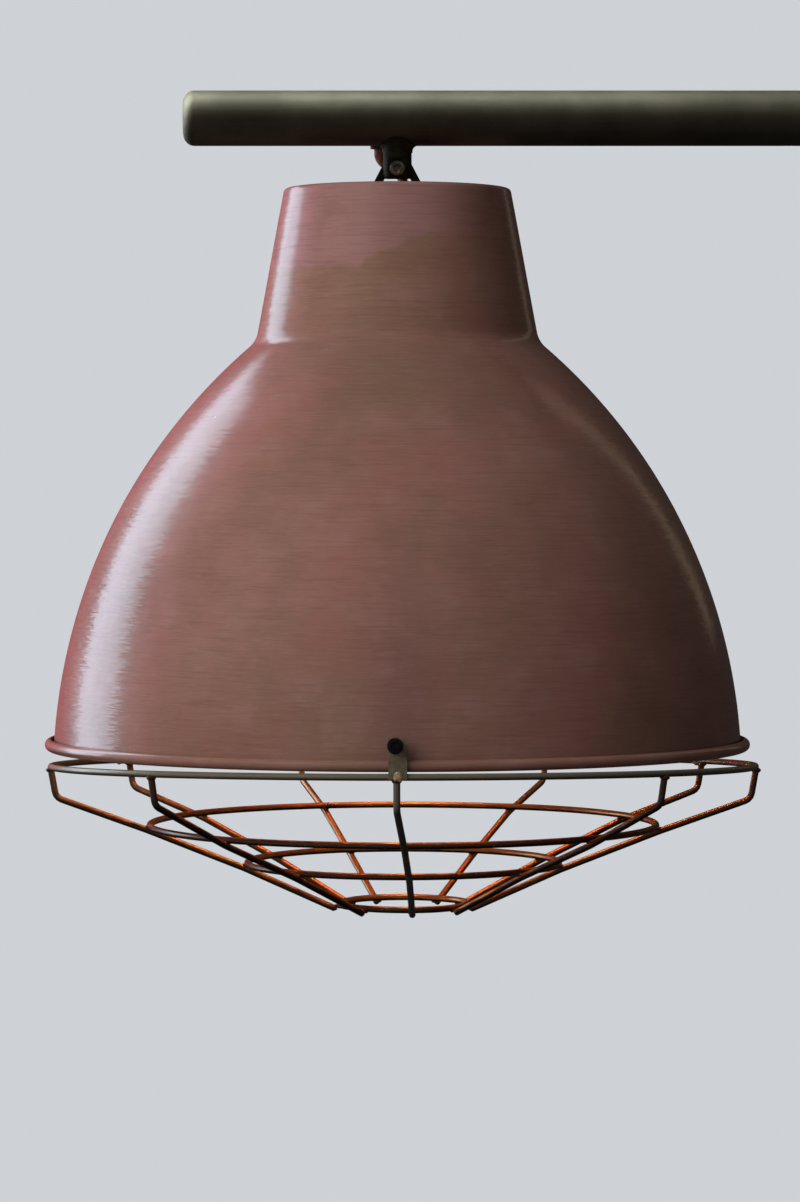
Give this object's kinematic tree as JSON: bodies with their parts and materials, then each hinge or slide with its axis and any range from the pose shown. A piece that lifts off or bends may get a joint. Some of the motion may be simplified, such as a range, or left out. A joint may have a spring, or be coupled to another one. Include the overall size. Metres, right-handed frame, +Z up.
{
  "type": "pendant ceiling light",
  "caption": "Spun copper bell shade with a conical neck and a welded wire guard, hung by a pivoted stirrup from a short stem under a horizontal bar, with lampholder and bulb.",
  "frame": {"origin": "centre of the open end face of the horizontal bar, where the next length or the ceiling arm plugs in", "axes": "+X out of the bar's open end along the bar, +Z up, -Y towards the front, where the front guard tab is"},
  "size_m": [0.4528, 0.4148, 0.4726],
  "materials": {
    "antique_bronze": "dark olive bronze, brushed",
    "copper_shade": "patinated brushed copper, lacquered",
    "guard_wire": "copper wire, darkened",
    "guard_strip": "antique bronze strip",
    "black_screw": "black oxide",
    "zinc_steel": "zinc plated",
    "brass": "plain brass",
    "porcelain": "glazed porcelain, opaque",
    "flex_cloth": "braided dark red cloth over insulation",
    "core_brown": "insulation",
    "core_blue": "insulation",
    "core_green": "insulation",
    "rubber": "moulded",
    "nylon": "moulded nylon",
    "bulb_glass": "clear blown glass",
    "filament": "phosphor coated rod",
    "bulb_wire": "drawn wire",
    "cap_metal": "rolled thin metal",
    "black_glass": "black vitrite, opaque"
  },
  "bodies": {
    "bar": {"bar_tube": "antique_bronze", "bar_end_cap": "antique_bronze", "socket_sleeve": "zinc_steel", "socket_grub_screw": "black_screw", "bar_grommet": "rubber", "stem": "antique_bronze", "pivot_bolt": "black_screw", "pivot_washer": "zinc_steel", "pivot_nut": "zinc_steel", "splice_block": "nylon", "flex_in_bar": "flex_cloth"},
    "pendant": {"hanger_stirrup": "antique_bronze", "hanger_plate": "antique_bronze", "hanger_screws": "black_screw", "hanger_nuts": "zinc_steel", "stiffening_disc": "zinc_steel", "shade_shell": "copper_shade", "cord_grip": "brass", "cord_grip_nut": "zinc_steel", "nipple": "zinc_steel", "nipple_nuts": "zinc_steel", "lampholder_bracket": "zinc_steel", "bracket_screws": "zinc_steel", "lampholder_body": "porcelain", "screw_shell": "brass", "centre_contact": "brass", "terminals": "brass", "terminal_screws": "brass", "earth_screw": "zinc_steel", "flex_drop": "flex_cloth", "core_line": "core_brown", "core_neutral": "core_blue", "core_earth": "core_green", "guard_screws": "black_screw", "guard_spacers": "zinc_steel", "guard_washers": "zinc_steel", "guard_nuts": "zinc_steel"},
    "bulb": {"bulb_glass": "bulb_glass", "bulb_mount": "bulb_glass", "bulb_filaments": "filament", "bulb_supports": "bulb_wire", "bulb_cap": "cap_metal", "bulb_insulator": "black_glass", "bulb_contact": "brass"},
    "guard": {"guard_ring_top": "guard_wire", "guard_ring_upper": "guard_wire", "guard_ring_lower": "guard_wire", "guard_ring_bottom": "guard_wire", "guard_strut_front": "guard_wire", "guard_strut_front_left": "guard_wire", "guard_strut_left": "guard_wire", "guard_strut_back_left": "guard_wire", "guard_strut_rear_left": "guard_wire", "guard_strut_rear_right": "guard_wire", "guard_strut_back_right": "guard_wire", "guard_strut_right": "guard_wire", "guard_strut_front_right": "guard_wire", "guard_tab_front": "guard_strip", "guard_tab_left": "guard_strip", "guard_tab_right": "guard_strip"}
  },
  "joints": [
    {"name": "pendant_swing", "type": "hinge", "parent": "bar", "child": "pendant", "pos_m": [-0.25, 0, -0.0294], "axis": [0, 1, 0], "range_deg": [-15, 15], "deforming": ["flex_drop"]},
    {"name": "guard_drop", "type": "slide", "parent": "pendant", "child": "guard", "axis": [0, 0, -1], "range_m": [0, 0.15]},
    {"name": "bulb_unscrew", "type": "slide", "parent": "pendant", "child": "bulb", "axis": [0, 0, -1], "range_m": [0, 0.03]}
  ]
}
